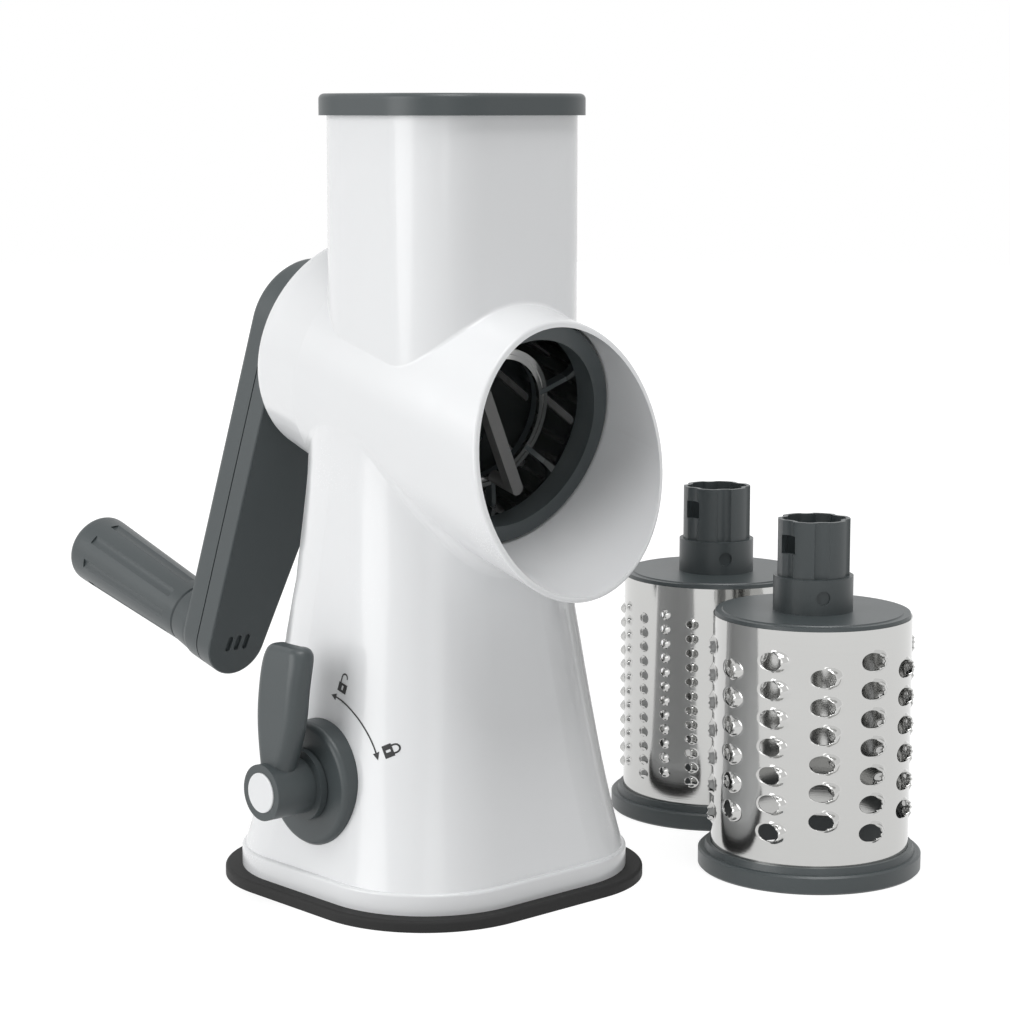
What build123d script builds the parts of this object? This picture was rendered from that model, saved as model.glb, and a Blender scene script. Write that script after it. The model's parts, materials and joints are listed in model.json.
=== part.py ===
"""Rotary vegetable shredder with a suction stand, a hand crank and two spare drums.

Frame: millimetres, +Z up, the origin on the table at the middle of the suction pad.
The mouth faces -Y, the crank turns behind the barrel at +Y and the suction lever is at -X.
The drum axis leans down towards the mouth. Pieces on that axis are drawn in a drum frame:
x runs along the row's +X, y points up and z runs along the axis towards the mouth.
"""
from build123d import *
from math import acos, asin, atan2, cos, degrees, pi, radians, sin, sqrt, tan
import os

# ---------------------------------------------------------------- driving dimensions
# clearances
RUNNING = 0.06          # radial gap of a shaft that turns in a bore
SLIDING = 0.30          # gap between bodies that pass each other
SEAT = 0.10             # gap between two pieces of one body
WALL = 2.5              # wall of the moulded body
LEVEL_BAND = 0.01       # how near to a level a flat edge lies
SAME_SPOT = 0.05        # how near two points count as one
OVERLAP = 1.0           # how far a boss is sunk into what it is joined to
PUNCH_LENGTH = 6.0      # length of the tools that cut through a drum's steel

# drum axis
AXIS_HEIGHT = 180.0     # height of the axis above the table at y = 0
AXIS_LEAN = 15.3        # degrees, down towards the mouth

# suction pad, skirt and pedestal
PAD_HALF = 67.8
PAD_CORNER = 45.0
PAD_THICK = 4.0
PAD_ROUND = 1.2
SKIRT_HALF = 62.5
SKIRT_CORNER = 42.0
SKIRT_HEIGHT = 7.6
SKIRT_ROUND = 1.0
SKIRT_WIDTH = 10.5      # width of the skirt's foot inside its outer face
PLATE_THICK = 3.4
PLATE_STEP = 5.0        # width of the ledge that carries the base plate
FOOT_HALF = 60.2        # pedestal where it stands on the skirt
LOW_HALF = 55.2
MID_HALF = 50.0
HIGH_HALF = 45.4
NECK_INSET = 1.6        # how far the pedestal's neck lies inside the barrel
LOW_LEVEL = 40.0
MID_LEVEL = 80.0
HIGH_DROP = 60.0        # from the axis at y = 0 down to the last section under the neck
NECK_DROP = 8.0         # from the axis at y = 0 down to the end of the neck
PEDESTAL_CORNER = 37.0

# hopper and pusher
HOPPER_INSET = 4.0      # how far the hopper's sides lie inside the barrel's
HOPPER_HALF_Y = 36.0
HOPPER_CORNER = 23.0
HOPPER_Y = -11.5
HOPPER_RISE = 97.4      # from the axis at y = 0 up to the hopper's rim
LID_OVERHANG = 2.8
LID_THICK = 7.6
LID_ROUND = 2.0
PLUNGER_GAP = 0.8       # gap between the plunger and the hopper's inner wall
PLUNGER_CLEAR = 18.8    # from the level of the drum's steel at y = 0 up to the plunger
PLUNGER_WALL = 2.2

# drum
SHELL_RADIUS = 36.6
SHELL_THICK = 0.8
RING_STEP = 4.8         # how far the ring stands outside the steel
RING_WIDTH = 6.8
RING_FACE = 48.8        # the ring's front face along the axis, from y = 0
COLLAR_STEP = 2.2       # the ring's shoulder behind its rim
COLLAR_WALL = 1.6       # the shoulder's wall outside the steel
COLLAR_SLOPE = 0.8
RING_EDGE = 0.7         # chamfer of the ring's rim
LIP_THICK = 0.9
RING_WEB = 1.6
DRUM_LENGTH = 97.0      # from the ring's front face to the back plate's outer face
BACK_THICK = 1.7
BACK_SKIRT = 2.0        # the back plate's rim inside the steel, wide and deep
BACK_SKIRT_DEPTH = 3.0
BACK_EDGE = 0.4
RIM_STEP = 3.4          # from the shell to the raised disc of the back plate
BOSS_RADIUS = 14.75
BOSS_LENGTH = 13.0
SPIGOT_RADIUS = 13.25
SPIGOT_LENGTH = 21.0
SPIGOT_WALL = 1.5
LOBES = 6
LOBE_CUTTER = 4.0
LOBE_DEPTH = 1.5
WINDOW_WIDTH = 7.1
WINDOW_HEIGHT = 6.9
WINDOW_SETBACK = 5.4    # from the spigot's end to the window
WINDOW_DEPTH = 8.0      # length of the tool that cuts the window
WINDOW_ANGLE = 15.0     # the flutes are set out from the window too
DIMPLE_RADIUS = 2.6
DIMPLE_DEPTH = 1.0
DIMPLE_ANGLE = -46.5

# drum patterns
COARSE_COLUMNS = 12
COARSE_PITCH = 10.5
COARSE_ROWS = 7
COARSE_HOLE = 3.4
COARSE_PHASE = 22.0
FINE_COLUMNS = 20
FINE_PITCH = 5.7
FINE_ROWS = 12
FINE_HOLE = 1.1
FINE_PHASE = 1.6
FINE_SHIFT = 1.0        # how far the small holes lie nearer to the ring
SLIT_COLUMNS = 10
SLIT_ROWS = 3
SLIT_LENGTH = 22.0
SLIT_WIDTH = 3.2
SLIT_SLANT = 12.0

# slicing drum's inner hoop and pull bar
HOOP_RADIUS = 26.2
HOOP_BAND = 3.8         # radial width of the hoop's bright face
HOOP_THICK = 1.6
HOOP_GROOVE = 0.5       # groove round the middle of that face
HOOP_SETBACK = 15.5     # behind the ring's front face
SPIDER_THICK = 3.0
SPIDER_RIM = 0.4        # how much narrower the spider's hub is than the hoop, each side
SPIDER_ARM = 1.8
SPIDER_ANGLES = (21.0, 211.0, 328.0)
PULL_OFFSET = 6.9       # the bar's distance from the axis
PULL_ANGLE = 122.6      # the bar's direction across the drum
PULL_WIDTH = 4.6
PULL_FOOT = 23.0        # the feet's distance from the axis
PULL_SETBACK = 2.0      # behind the ring's front face

# barrel
BORE_GAP = 3.6          # between the drum's steel and the barrel's bore
RING_GAP = 0.7          # between the drum's ring and its pocket
BACK_GAP = 2.0          # between the drum's back plate and the barrel's back wall
BACK_WALL = 2.8
BARREL_WALL = 1.9       # wall outside the ring's pocket
REAR_TAPER = 1.4        # how much narrower the barrel is at its back
TAPER_RUN = 28.0        # how far along the axis that taper runs
BARREL_EDGE = 7.0
MOUTH_FLARE = 0.9       # how much wider the barrel is at its mouth
MOUTH_WALL = 2.2
MOUTH_LIP = 1.1         # rounding of the mouth's outer edge
NECK_BLEND = 4.0        # rounding where the barrel meets the pedestal
HOPPER_BLEND = 1.5      # rounding where the hopper meets the barrel
SEAM_BAND = 1.5         # how near to the barrel a meeting line lies
MOUTH_REACH = 76.0      # along the axis to the middle of the mouth's plane
MOUTH_SLANT = 24.4      # between the axis and the mouth plane's normal
BUSH_WALL = 3.2
BUSH_FLANGE = 3.0
BUSH_FLANGE_THICK = 2.0

# crank
CRANK_LENGTH = 126.8
CRANK_SWING = 9.6       # from straight down, towards -X
CRANK_GAP = 7.4         # from the barrel's back wall to the arm
INNER_COVER = 8.0
OUTER_COVER = 11.4
ARM_HUB = 24.4
ARM_END = 13.4
ARM_WALL = 2.4
ARM_ROUND = 3.4
STUB_LENGTH = 7.6
STUB_RADIUS = 12.2
HUB_WALL = 3.6
HUB_FLOOR = 2.4
BUTTON_RADIUS = 8.0
BUTTON_FLANGE_THICK = 1.5
BUTTON_PROUD = 2.6
VENTS = 3
VENT_PITCH = 4.0
VENT_WIDTH = 2.3
VENT_LENGTH = 6.2
VENT_TURN = 78.0
ARM_SCREW = 1.5
ARM_SCREW_HEAD = 2.9
ARM_SCREW_POST = 3.2
ARM_SCREW_HEAD_THICK = 1.2
ARM_SCREW_SHARES = (0.30, 0.55, 0.80)
SEAM_WIDTH = 0.45       # shadow line between the two covers
SEAM_DEPTH = 0.6
ARM_EDGE = 0.8          # rounding of the inner cover's face
STUB_EDGE = 0.6
HUB_ROUND = 1.5
BUTTON_ROUND = 1.0

# grip
PIN_RADIUS = 4.0
GRIP_GAP = 0.6
GRIP_NECK = 12.1
GRIP_EDGE = 0.8
GRIP_BELLY = 14.1
GRIP_SLEEVE = 66.0
GRIP_DOME = 8.6
DOME_SHOULDER = 2.0     # straight part of the end cap
PIN_HEAD = 2.0          # how far the pin's head is wider than the pin
PIN_HEAD_THICK = 2.0
PIN_SPARE = 1.0         # play of the sleeve on the pin
FLUTES = 8
FLUTE_CUTTER = 3.4
FLUTE_DEPTH = 0.8
FLUTE_MARGIN = 6.0
FLUTE_PHASE = 4.0

# suction lever and its cam
LEVER_HEIGHT = 43.3
ESCUTCHEON_RADIUS = 22.2
ESCUTCHEON_FACE = 60.0  # distance of its outer face from the middle plane
ESCUTCHEON_DEPTH = 10.0
ESCUTCHEON_ROUND = 2.2
LEVER_FLANGE = 12.8
LEVER_FLANGE_THICK = 2.6
LEVER_HUB = 10.0
LEVER_END = 79.6        # distance of the hub's end from the middle plane
PADDLE_TOP = 94.0
PADDLE_WIDTH = 22.3
PADDLE_THICK = 10.0
PADDLE_CORNER = 4.6
PADDLE_FROM = 70.6      # distance of the paddle's middle from the middle plane, at its foot
PADDLE_LEAN = 5.0
PADDLE_SHAPE = ((0.0, 0.86), (0.45, 0.94), (0.75, 1.0), (0.9, 0.98), (0.96, 0.9), (1.0, 0.76))
PADDLE_CROWN = 3.4
CAP_RADIUS = 7.1
CAP_THICK = 2.4
CAP_PROUD = 0.5
LEVER_SCREW = 1.6
LEVER_SCREW_LENGTH = 9.0
LEVER_SCREW_HEAD = 3.2
LEVER_SCREW_HEAD_THICK = 1.8
CAP_ROUND = 0.4
CAP_ROOM = 2.0          # space under the cap for the screw's head
SHAFT_SPARE = 2.0       # how far the shaft passes the far cheek
SHAFT_RADIUS = 4.0
CAM_RADIUS = 8.0
CAM_OFFSET = 3.54       # eccentricity, a lift of 5 mm over a quarter turn
CAM_THICK = 6.0
YOKE_WALL = 4.0
STEM_RADIUS = 5.0
STEM_FOOT = 8.0
STEM_FOOT_THICK = 1.5
PAD_BOSS = 14.0
PAD_BOSS_HEIGHT = 4.0
CHEEK_THICK = 3.5
CHEEK_GAP = 3.0         # between the cam and each cheek
CHEEK_HALF = 13.0
BRACKET_FLOOR = 3.0
BRACKET_WING = 8.0      # how far the floor's wings reach past the pad's boss
BRACKET_WING_HALF = 7.0
BRACKET_CORNER = 2.0
POST_PLACE = 38.0
POST_RADIUS = 5.0
POST_HEIGHT = 34.0
RIB_THICK = 2.4
SCREW_RADIUS = 1.9
SCREW_HEAD = 3.7
SCREW_HEAD_THICK = 1.9
SCREW_LENGTH = 14.0

# spare drums: where they stand and how far each is turned about its own axis
COARSE_SPOT = (109.1, -88.1)
COARSE_TURN = 189.5
FINE_SPOT = (145.8, -4.8)
FINE_TURN = 191.1

# ---------------------------------------------------------------- worked-out places
SKIRT_TOP = PAD_THICK + SKIRT_HEIGHT
PLATE_LEVEL = SKIRT_TOP - PLATE_THICK
RING_RADIUS = SHELL_RADIUS + RING_STEP
RAISED_DISC = SHELL_RADIUS - RIM_STEP
BORE_RADIUS = SHELL_RADIUS + BORE_GAP
POCKET_RADIUS = RING_RADIUS + RING_GAP
BARREL_RADIUS = POCKET_RADIUS + BARREL_WALL
BARREL_REAR = BARREL_RADIUS - REAR_TAPER
MOUTH_RADIUS = BARREL_RADIUS + MOUTH_FLARE
NECK_HALF = BARREL_RADIUS - NECK_INSET
HOPPER_HALF_X = BARREL_RADIUS - HOPPER_INSET
HIGH_LEVEL = AXIS_HEIGHT - HIGH_DROP
NECK_LEVEL = AXIS_HEIGHT - NECK_DROP
HOPPER_TOP = AXIS_HEIGHT + HOPPER_RISE
PLUNGER_LOW = AXIS_HEIGHT + SHELL_RADIUS + PLUNGER_CLEAR
POCKET_BACK = RING_FACE - RING_WIDTH - SLIDING
BACK_FACE = RING_FACE - DRUM_LENGTH
SHELL_BACK = BACK_FACE + BACK_THICK
SPIDER_REACH = SHELL_RADIUS - SHELL_THICK - SEAT
BUTTON_FLANGE = SPIGOT_RADIUS - LOBE_DEPTH - SPIGOT_WALL - RUNNING
HOOP_FACE = RING_FACE - HOOP_SETBACK
BORE_BACK = BACK_FACE - BACK_GAP
BARREL_BACK = BORE_BACK - BACK_WALL
BOSS_END = BACK_FACE - BOSS_LENGTH
SPIGOT_END = BOSS_END - SPIGOT_LENGTH
BUSH_BORE = BOSS_RADIUS + RUNNING
BUSH_RADIUS = BUSH_BORE + BUSH_WALL
ARM_FACE = BARREL_BACK - CRANK_GAP
SEAM_FACE = ARM_FACE - INNER_COVER
ARM_BACK = SEAM_FACE - OUTER_COVER
HUB_RADIUS = SPIGOT_RADIUS + SEAT + HUB_WALL
SOCKET_END = SPIGOT_END - SLIDING
HUB_END = SOCKET_END - HUB_FLOOR
GRIP_X = -CRANK_LENGTH * sin(radians(CRANK_SWING))
GRIP_Y = -CRANK_LENGTH * cos(radians(CRANK_SWING))
STUB_END = ARM_BACK - STUB_LENGTH
GRIP_START = STUB_END - GRIP_GAP
GRIP_END = GRIP_START - GRIP_SLEEVE
CAM_DROP = CAM_OFFSET * sin(pi / 4)
CAM_LEVEL = LEVER_HEIGHT - CAM_DROP
YOKE_HALF = CAM_RADIUS + CAM_OFFSET + SLIDING
CHEEK_FACE = CAM_THICK / 2 + CHEEK_GAP

DRUM_FRAME = Plane(
    origin=(0, 0, AXIS_HEIGHT),
    x_dir=(1, 0, 0),
    z_dir=(0, -cos(radians(AXIS_LEAN)), -sin(radians(AXIS_LEAN))),
).location
LEVER_FRAME = Plane(origin=(0, 0, LEVER_HEIGHT), x_dir=(0, 1, 0), z_dir=(-1, 0, 0)).location


# ---------------------------------------------------------------- small helpers
def rounded(half_x, half_y, corner):
    """A rounded rectangle about the origin."""
    return RectangleRounded(2 * half_x, 2 * half_y, corner)


def slab(outline, low, high):
    """A flat outline raised from one level to another."""
    return Pos(0, 0, low) * extrude(outline, high - low)


def rod(radius, start, end):
    """A round rod along z between two levels, in either order."""
    low = min(start, end)
    length = abs(end - start)
    return Pos(0, 0, low) * Cylinder(radius, length, align=(Align.CENTER, Align.CENTER, Align.MIN))


def tube(outer, inner, start, end):
    """A round tube along z."""
    return rod(outer, start, end) - rod(inner, start, end)


def rim_at(solid, level):
    """The edges that lie flat at one level."""
    return solid.edges().filter_by_position(Axis.Z, level - LEVEL_BAND, level + LEVEL_BAND)


def turned(points):
    """A solid of revolution about z from (radius, level) points."""
    return revolve(Plane.XZ * make_face(Polyline(points, close=True)), Axis.Z)


def spin(count, phase=0.0):
    """Even angles round a circle."""
    return [phase + 360.0 * index / count for index in range(count)]


def teardrop(hub, end):
    """The crank arm's outline: two arcs and the straight sides that touch both."""
    lean = atan2(GRIP_Y, GRIP_X)
    open_angle = acos((hub - end) / CRANK_LENGTH)
    touch = []
    for side in (1, -1):
        way = lean + side * open_angle
        touch.append((hub * cos(way), hub * sin(way)))
        touch.append((GRIP_X + end * cos(way), GRIP_Y + end * sin(way)))
    far_end = (GRIP_X + end * cos(lean), GRIP_Y + end * sin(lean))
    far_hub = (-hub * cos(lean), -hub * sin(lean))
    sides = Line(touch[0], touch[1]) + Line(touch[3], touch[2])
    ends = ThreePointArc(touch[1], far_end, touch[3]) + ThreePointArc(touch[2], far_hub, touch[0])
    return make_face(sides + ends)


# ---------------------------------------------------------------- stand: body, skirt and pad
def pedestal(inset, low, high_level):
    """The pedestal's tapered block, drawn smaller by the inset."""
    levels = (
        (low, FOOT_HALF),
        (LOW_LEVEL, LOW_HALF),
        (MID_LEVEL, MID_HALF),
        (HIGH_LEVEL, HIGH_HALF),
        (high_level, NECK_HALF),
    )
    sections = []
    for level, half in levels:
        side = half - inset
        sections.append(Pos(0, 0, level) * rounded(side, side, PEDESTAL_CORNER - inset))
    return loft(sections)


def barrel_block():
    """The barrel's outside, cut at the slanted mouth."""
    front = MOUTH_REACH + 2 * BARREL_RADIUS * tan(radians(MOUTH_SLANT))
    outline = Polyline(
        (0, BARREL_BACK),
        (BARREL_REAR - BARREL_EDGE, BARREL_BACK),
    )
    edge = RadiusArc(
        (BARREL_REAR - BARREL_EDGE, BARREL_BACK),
        (BARREL_REAR, BARREL_BACK + BARREL_EDGE),
        -BARREL_EDGE,
    )
    side = Polyline(
        (BARREL_REAR, BARREL_BACK + BARREL_EDGE),
        (BARREL_RADIUS, BARREL_BACK + TAPER_RUN),
        (BARREL_RADIUS, RING_FACE),
        (MOUTH_RADIUS, front),
        (0, front),
        (0, BARREL_BACK),
    )
    solid = revolve(Plane.XZ * make_face(outline + edge + side), Axis.Z)
    span = 4 * BARREL_RADIUS
    cutter = Pos(0, 0, MOUTH_REACH) * Rot(-MOUTH_SLANT, 0, 0) * slab(Rectangle(span, span), 0, span)
    cut = solid - cutter
    rim = cut.edges().sort_by(Axis.Z)[-1]
    return fillet(rim, MOUTH_LIP)


def barrel_void():
    """The drum's bore, the ring's pocket and the open mouth."""
    front = MOUTH_REACH + 2 * BARREL_RADIUS * tan(radians(MOUTH_SLANT))
    return turned((
        (0, BORE_BACK),
        (BORE_RADIUS, BORE_BACK),
        (BORE_RADIUS, POCKET_BACK),
        (POCKET_RADIUS, POCKET_BACK),
        (POCKET_RADIUS, RING_FACE),
        (MOUTH_RADIUS - MOUTH_WALL, front),
        (0, front),
    ))


def hopper_block(inset, low, top):
    """The hopper's rounded box."""
    outline = rounded(HOPPER_HALF_X - inset, HOPPER_HALF_Y - inset, HOPPER_CORNER - inset)
    return Pos(0, HOPPER_Y, 0) * slab(outline, low, top)


def screw_posts():
    """Four posts at the corners, each ribbed to the wall, which take the base screws."""
    top = SKIRT_TOP + POST_HEIGHT
    posts = []
    for angle in spin(4, 45.0):
        middle = POST_PLACE * sqrt(2)
        post = Pos(middle, 0, 0) * rod(POST_RADIUS, SKIRT_TOP, top)
        rib = slab(Pos(middle + PAD_CORNER / 2, 0) * Rectangle(PAD_CORNER, RIB_THICK), SKIRT_TOP, top)
        pilot = Pos(middle, 0, 0) * rod(SCREW_RADIUS + SEAT, SKIRT_TOP, SKIRT_TOP + SCREW_LENGTH)
        posts.append(Rot(0, 0, angle) * (post + rib - pilot))
    return posts


def seams(joined, first, second, low, high):
    """Edges that appear where two solids meet, with their middles between two levels."""
    known = [edge.center() for edge in first.edges() + second.edges()]
    found = []
    for edge in joined.edges():
        middle = edge.center()
        is_new = all((middle - point).length > SAME_SPOT for point in known)
        if is_new and low < middle.Z < high and axis_distance(edge @ 0.5) < BARREL_RADIUS + SEAM_BAND:
            found.append(edge)
    return found


def axis_distance(point):
    """How far a point lies from the drum's axis."""
    local = DRUM_FRAME.inverse() * Pos(point)
    return sqrt(local.position.X ** 2 + local.position.Y ** 2)


def body_outside():
    """The outer skin as a full solid, with its soft meeting lines."""
    barrel = DRUM_FRAME * barrel_block()
    column = pedestal(0, SKIRT_TOP, NECK_LEVEL)
    stand = barrel + column
    stand = fillet(seams(stand, barrel, column, MID_LEVEL, AXIS_HEIGHT), NECK_BLEND)
    chimney = hopper_block(0, AXIS_HEIGHT, HOPPER_TOP)
    whole = stand + chimney
    return fillet(seams(whole, stand, chimney, AXIS_HEIGHT, HOPPER_TOP), HOPPER_BLEND)


def body_shell():
    """Hopper, barrel and pedestal in one hollow moulding."""
    room = pedestal(WALL, SKIRT_TOP, NECK_LEVEL) - DRUM_FRAME * barrel_block()
    throat = hopper_block(WALL, AXIS_HEIGHT, HOPPER_TOP)
    shell = body_outside() - room - throat - DRUM_FRAME * barrel_void()
    shell -= DRUM_FRAME * rod(BUSH_RADIUS + SEAT, BORE_BACK + BACK_WALL, BARREL_BACK - BACK_WALL)
    shell -= LEVER_FRAME * rod(ESCUTCHEON_RADIUS + SEAT, ESCUTCHEON_FACE - 2 * ESCUTCHEON_DEPTH, PAD_HALF)
    inside = pedestal(WALL / 2, SKIRT_TOP, NECK_LEVEL)
    for post in screw_posts():
        shell += post & inside
    return shell


def base_skirt():
    """The white foot frame under the pedestal, with a ledge for the base plate."""
    outside = slab(rounded(SKIRT_HALF, SKIRT_HALF, SKIRT_CORNER), PAD_THICK, SKIRT_TOP)
    top_edge = rim_at(outside, SKIRT_TOP)
    outside = fillet(top_edge, SKIRT_ROUND)
    inner = SKIRT_HALF - SKIRT_WIDTH
    ledge = inner + PLATE_STEP
    hole = slab(rounded(inner, inner, SKIRT_CORNER - SKIRT_WIDTH), PAD_THICK, SKIRT_TOP)
    step = slab(rounded(ledge, ledge, SKIRT_CORNER - SKIRT_WIDTH + PLATE_STEP), PLATE_LEVEL, SKIRT_TOP)
    return outside - hole - step


def base_plate():
    """The plate inside the skirt, which carries the cam bracket."""
    half = SKIRT_HALF - SKIRT_WIDTH + PLATE_STEP - SEAT
    plate = slab(rounded(half, half, SKIRT_CORNER - SKIRT_WIDTH + PLATE_STEP - SEAT), PLATE_LEVEL, SKIRT_TOP)
    plate -= rod(PAD_BOSS + SLIDING, PLATE_LEVEL, SKIRT_TOP)
    for side_x in (-1, 1):
        for side_y in (-1, 1):
            hole = rod(SCREW_RADIUS + SEAT, PLATE_LEVEL, SKIRT_TOP)
            plate -= Pos(side_x * POST_PLACE, side_y * POST_PLACE, 0) * hole
    return plate


def base_screws():
    """Four screws from below, through the plate into the posts."""
    screws = []
    for side_x in (-1, 1):
        for side_y in (-1, 1):
            head = rod(SCREW_HEAD, PLATE_LEVEL - SCREW_HEAD_THICK, PLATE_LEVEL)
            shank = rod(SCREW_RADIUS, PLATE_LEVEL, PLATE_LEVEL + SCREW_LENGTH)
            screws.append(Pos(side_x * POST_PLACE, side_y * POST_PLACE, 0) * (head + shank))
    return Compound(children=screws)


def suction_pad():
    """The flat rubber mat with its middle boss, which holds the stem's foot."""
    mat = slab(rounded(PAD_HALF, PAD_HALF, PAD_CORNER), 0, PAD_THICK)
    top_edge = rim_at(mat, PAD_THICK)
    mat = fillet(top_edge, PAD_ROUND)
    mat += rod(PAD_BOSS, PAD_THICK - OVERLAP, PAD_THICK + PAD_BOSS_HEIGHT)
    foot_low = PAD_THICK - STEM_FOOT_THICK
    mat -= rod(STEM_FOOT + SLIDING, foot_low - SLIDING, PAD_THICK + SLIDING)
    mat -= rod(STEM_RADIUS + SLIDING, PAD_THICK, PAD_THICK + PAD_BOSS_HEIGHT)
    return mat


def lever_escutcheon():
    """The round plate under the lever's hub."""
    back = ESCUTCHEON_FACE - ESCUTCHEON_DEPTH
    disc = rod(ESCUTCHEON_RADIUS, back, ESCUTCHEON_FACE)
    rim = rim_at(disc, ESCUTCHEON_FACE)
    disc = fillet(rim, ESCUTCHEON_ROUND)
    return LEVER_FRAME * (disc - rod(SHAFT_RADIUS + RUNNING, back, ESCUTCHEON_FACE))


def cam_bracket():
    """Two cheeks on a floor, which carry the cam shaft and guide the stem."""
    top = LEVER_HEIGHT + SHAFT_RADIUS + YOKE_WALL
    width = CHEEK_FACE + CHEEK_THICK
    floor = slab(rounded(width, CHEEK_HALF, BRACKET_CORNER), SKIRT_TOP, SKIRT_TOP + BRACKET_FLOOR)
    wings = rounded(PAD_BOSS + BRACKET_WING, BRACKET_WING_HALF, BRACKET_CORNER)
    bracket = floor + slab(wings, SKIRT_TOP, SKIRT_TOP + BRACKET_FLOOR)
    for side in (-1, 1):
        middle = side * (CHEEK_FACE + CHEEK_THICK / 2)
        bracket += slab(Pos(middle, 0) * Rectangle(CHEEK_THICK, 2 * CHEEK_HALF), SKIRT_TOP, top)
    bracket -= rod(STEM_RADIUS + RUNNING, SKIRT_TOP, top)
    bracket -= LEVER_FRAME * rod(SHAFT_RADIUS + RUNNING, -2 * width, 2 * width)
    return bracket


def rear_bush():
    """The bush in the barrel's back wall, in which the drum's boss turns."""
    outer = tube(BUSH_RADIUS, BUSH_BORE, BORE_BACK, BARREL_BACK - BUSH_FLANGE_THICK)
    flange = tube(BUSH_RADIUS + BUSH_FLANGE, BUSH_BORE, BARREL_BACK, BARREL_BACK - BUSH_FLANGE_THICK)
    return DRUM_FRAME * (outer + flange)


# ---------------------------------------------------------------- pusher
def pusher_lid():
    """The dark lid that rests on the hopper's rim."""
    lid = hopper_block(-LID_OVERHANG, HOPPER_TOP, HOPPER_TOP + LID_THICK)
    top_edge = rim_at(lid, HOPPER_TOP + LID_THICK)
    return fillet(top_edge, LID_ROUND)


def pusher_plunger():
    """The hollow box under the lid that presses the food down."""
    inset = WALL + PLUNGER_GAP
    block = hopper_block(inset, PLUNGER_LOW, HOPPER_TOP)
    return block - hopper_block(inset + PLUNGER_WALL, PLUNGER_LOW + PLUNGER_WALL, HOPPER_TOP)


# ---------------------------------------------------------------- drums
def drum_ring():
    """The dark front ring, with the groove that holds the steel shell."""
    shoulder = RING_FACE - RING_WIDTH
    inner_wall = SHELL_RADIUS - SHELL_THICK
    ring = turned((
        (inner_wall - SEAT - LIP_THICK, shoulder - COLLAR_STEP),
        (SHELL_RADIUS + SEAT + COLLAR_WALL, shoulder - COLLAR_STEP),
        (SHELL_RADIUS + SEAT + COLLAR_WALL + COLLAR_SLOPE, shoulder),
        (RING_RADIUS - RING_EDGE, shoulder),
        (RING_RADIUS, shoulder + RING_EDGE),
        (RING_RADIUS, RING_FACE - RING_EDGE),
        (RING_RADIUS - RING_EDGE, RING_FACE),
        (inner_wall - SEAT - LIP_THICK, RING_FACE),
    ))
    groove = tube(SHELL_RADIUS + SEAT, inner_wall - SEAT, shoulder - COLLAR_STEP, RING_FACE - RING_WEB)
    return ring - groove


def plain_shell():
    """The steel tube before its holes are punched."""
    return tube(SHELL_RADIUS, SHELL_RADIUS - SHELL_THICK, SHELL_BACK, RING_FACE - RING_WEB - SEAT)


def punch(level, angle, radius):
    """A round punch across the shell's wall."""
    tool = Cylinder(radius, PUNCH_LENGTH, align=(Align.CENTER, Align.CENTER, Align.CENTER))
    return Rot(0, 0, angle) * Pos(SHELL_RADIUS, 0, level) * Rot(0, 90, 0) * tool


def shell_middle():
    """Halfway along the steel that shows between the ring and the back plate."""
    return (SHELL_BACK + RING_FACE - RING_WIDTH - COLLAR_STEP) / 2


def coarse_shell():
    """Large round holes in staggered columns."""
    tools = []
    for column, angle in enumerate(spin(COARSE_COLUMNS, COARSE_PHASE)):
        rows = COARSE_ROWS - 1 + column % 2
        for row in range(rows):
            level = shell_middle() + (row - (rows - 1) / 2) * COARSE_PITCH
            tools.append(punch(level, angle, COARSE_HOLE))
    return plain_shell() - tools


def fine_shell():
    """Small holes in close columns."""
    tools = []
    for column, angle in enumerate(spin(FINE_COLUMNS, FINE_PHASE)):
        for row in range(FINE_ROWS):
            place = row + 0.5 * (column % 2) - FINE_ROWS / 2 + 0.25
            level = shell_middle() + FINE_SHIFT + place * FINE_PITCH
            tools.append(punch(level, angle, FINE_HOLE))
    return plain_shell() - tools


def slicer_shell():
    """Long slanted slits for slices."""
    tools = []
    pitch = (SHELL_BACK - RING_FACE + RING_WIDTH + COLLAR_STEP) / (SLIT_ROWS + 0.5)
    slit = SlotOverall(SLIT_LENGTH, SLIT_WIDTH)
    tool = Pos(0, 0, -PUNCH_LENGTH / 2) * extrude(slit, PUNCH_LENGTH)
    for column, angle in enumerate(spin(SLIT_COLUMNS)):
        for row in range(SLIT_ROWS):
            level = shell_middle() + (row + 0.5 * (column % 2) - SLIT_ROWS / 2 + 0.25) * pitch
            place = Rot(0, 0, angle) * Pos(SHELL_RADIUS, 0, level) * Rot(0, 90, 0) * Rot(0, 0, SLIT_SLANT)
            tools.append(place * tool)
    return plain_shell() - tools


def lobed(grow):
    """The spigot's section: a circle with flutes, grown by a clearance or drawn in by a wall."""
    section = Circle(SPIGOT_RADIUS + grow)
    reach = SPIGOT_RADIUS - LOBE_DEPTH + LOBE_CUTTER
    for angle in spin(LOBES, WINDOW_ANGLE):
        section -= Rot(0, 0, angle) * Pos(reach, 0) * Circle(LOBE_CUTTER - grow)
    return section


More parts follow.
